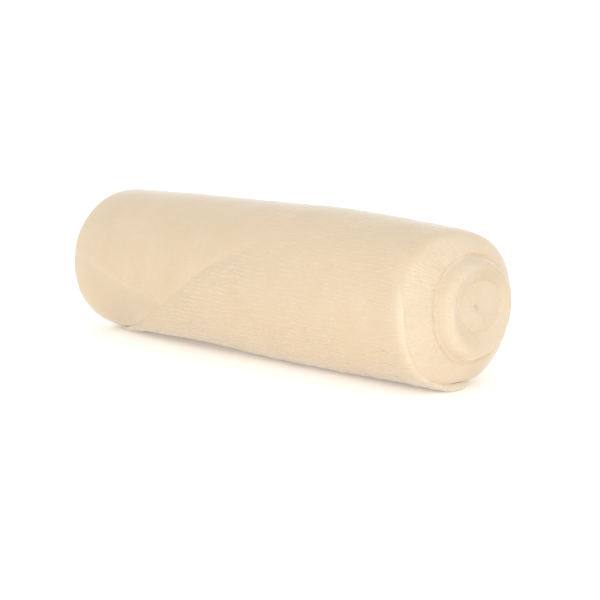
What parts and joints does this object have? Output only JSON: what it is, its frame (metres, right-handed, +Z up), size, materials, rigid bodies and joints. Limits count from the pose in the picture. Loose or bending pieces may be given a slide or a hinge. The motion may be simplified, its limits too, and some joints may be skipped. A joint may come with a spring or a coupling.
{
  "type": "gauze bandage roll",
  "caption": "Crepe gauze bandage wound into a soft roll, lying on its side with its loose end wrapped up the front.",
  "frame": {"origin": "middle of the underside, where the roll rests", "axes": "+X along the roll's axis towards the end that is pushed out in steps, -Y towards the side with the loose end, +Z up"},
  "size_m": [0.1072, 0.0328, 0.032],
  "materials": {
    "crepe_gauze": "undyed cream cotton gauze, plain weave with a crepe crinkle, matt"
  },
  "bodies": {
    "root": {"wound_roll": "crepe_gauze", "loose_end": "crepe_gauze"}
  },
  "joints": []
}
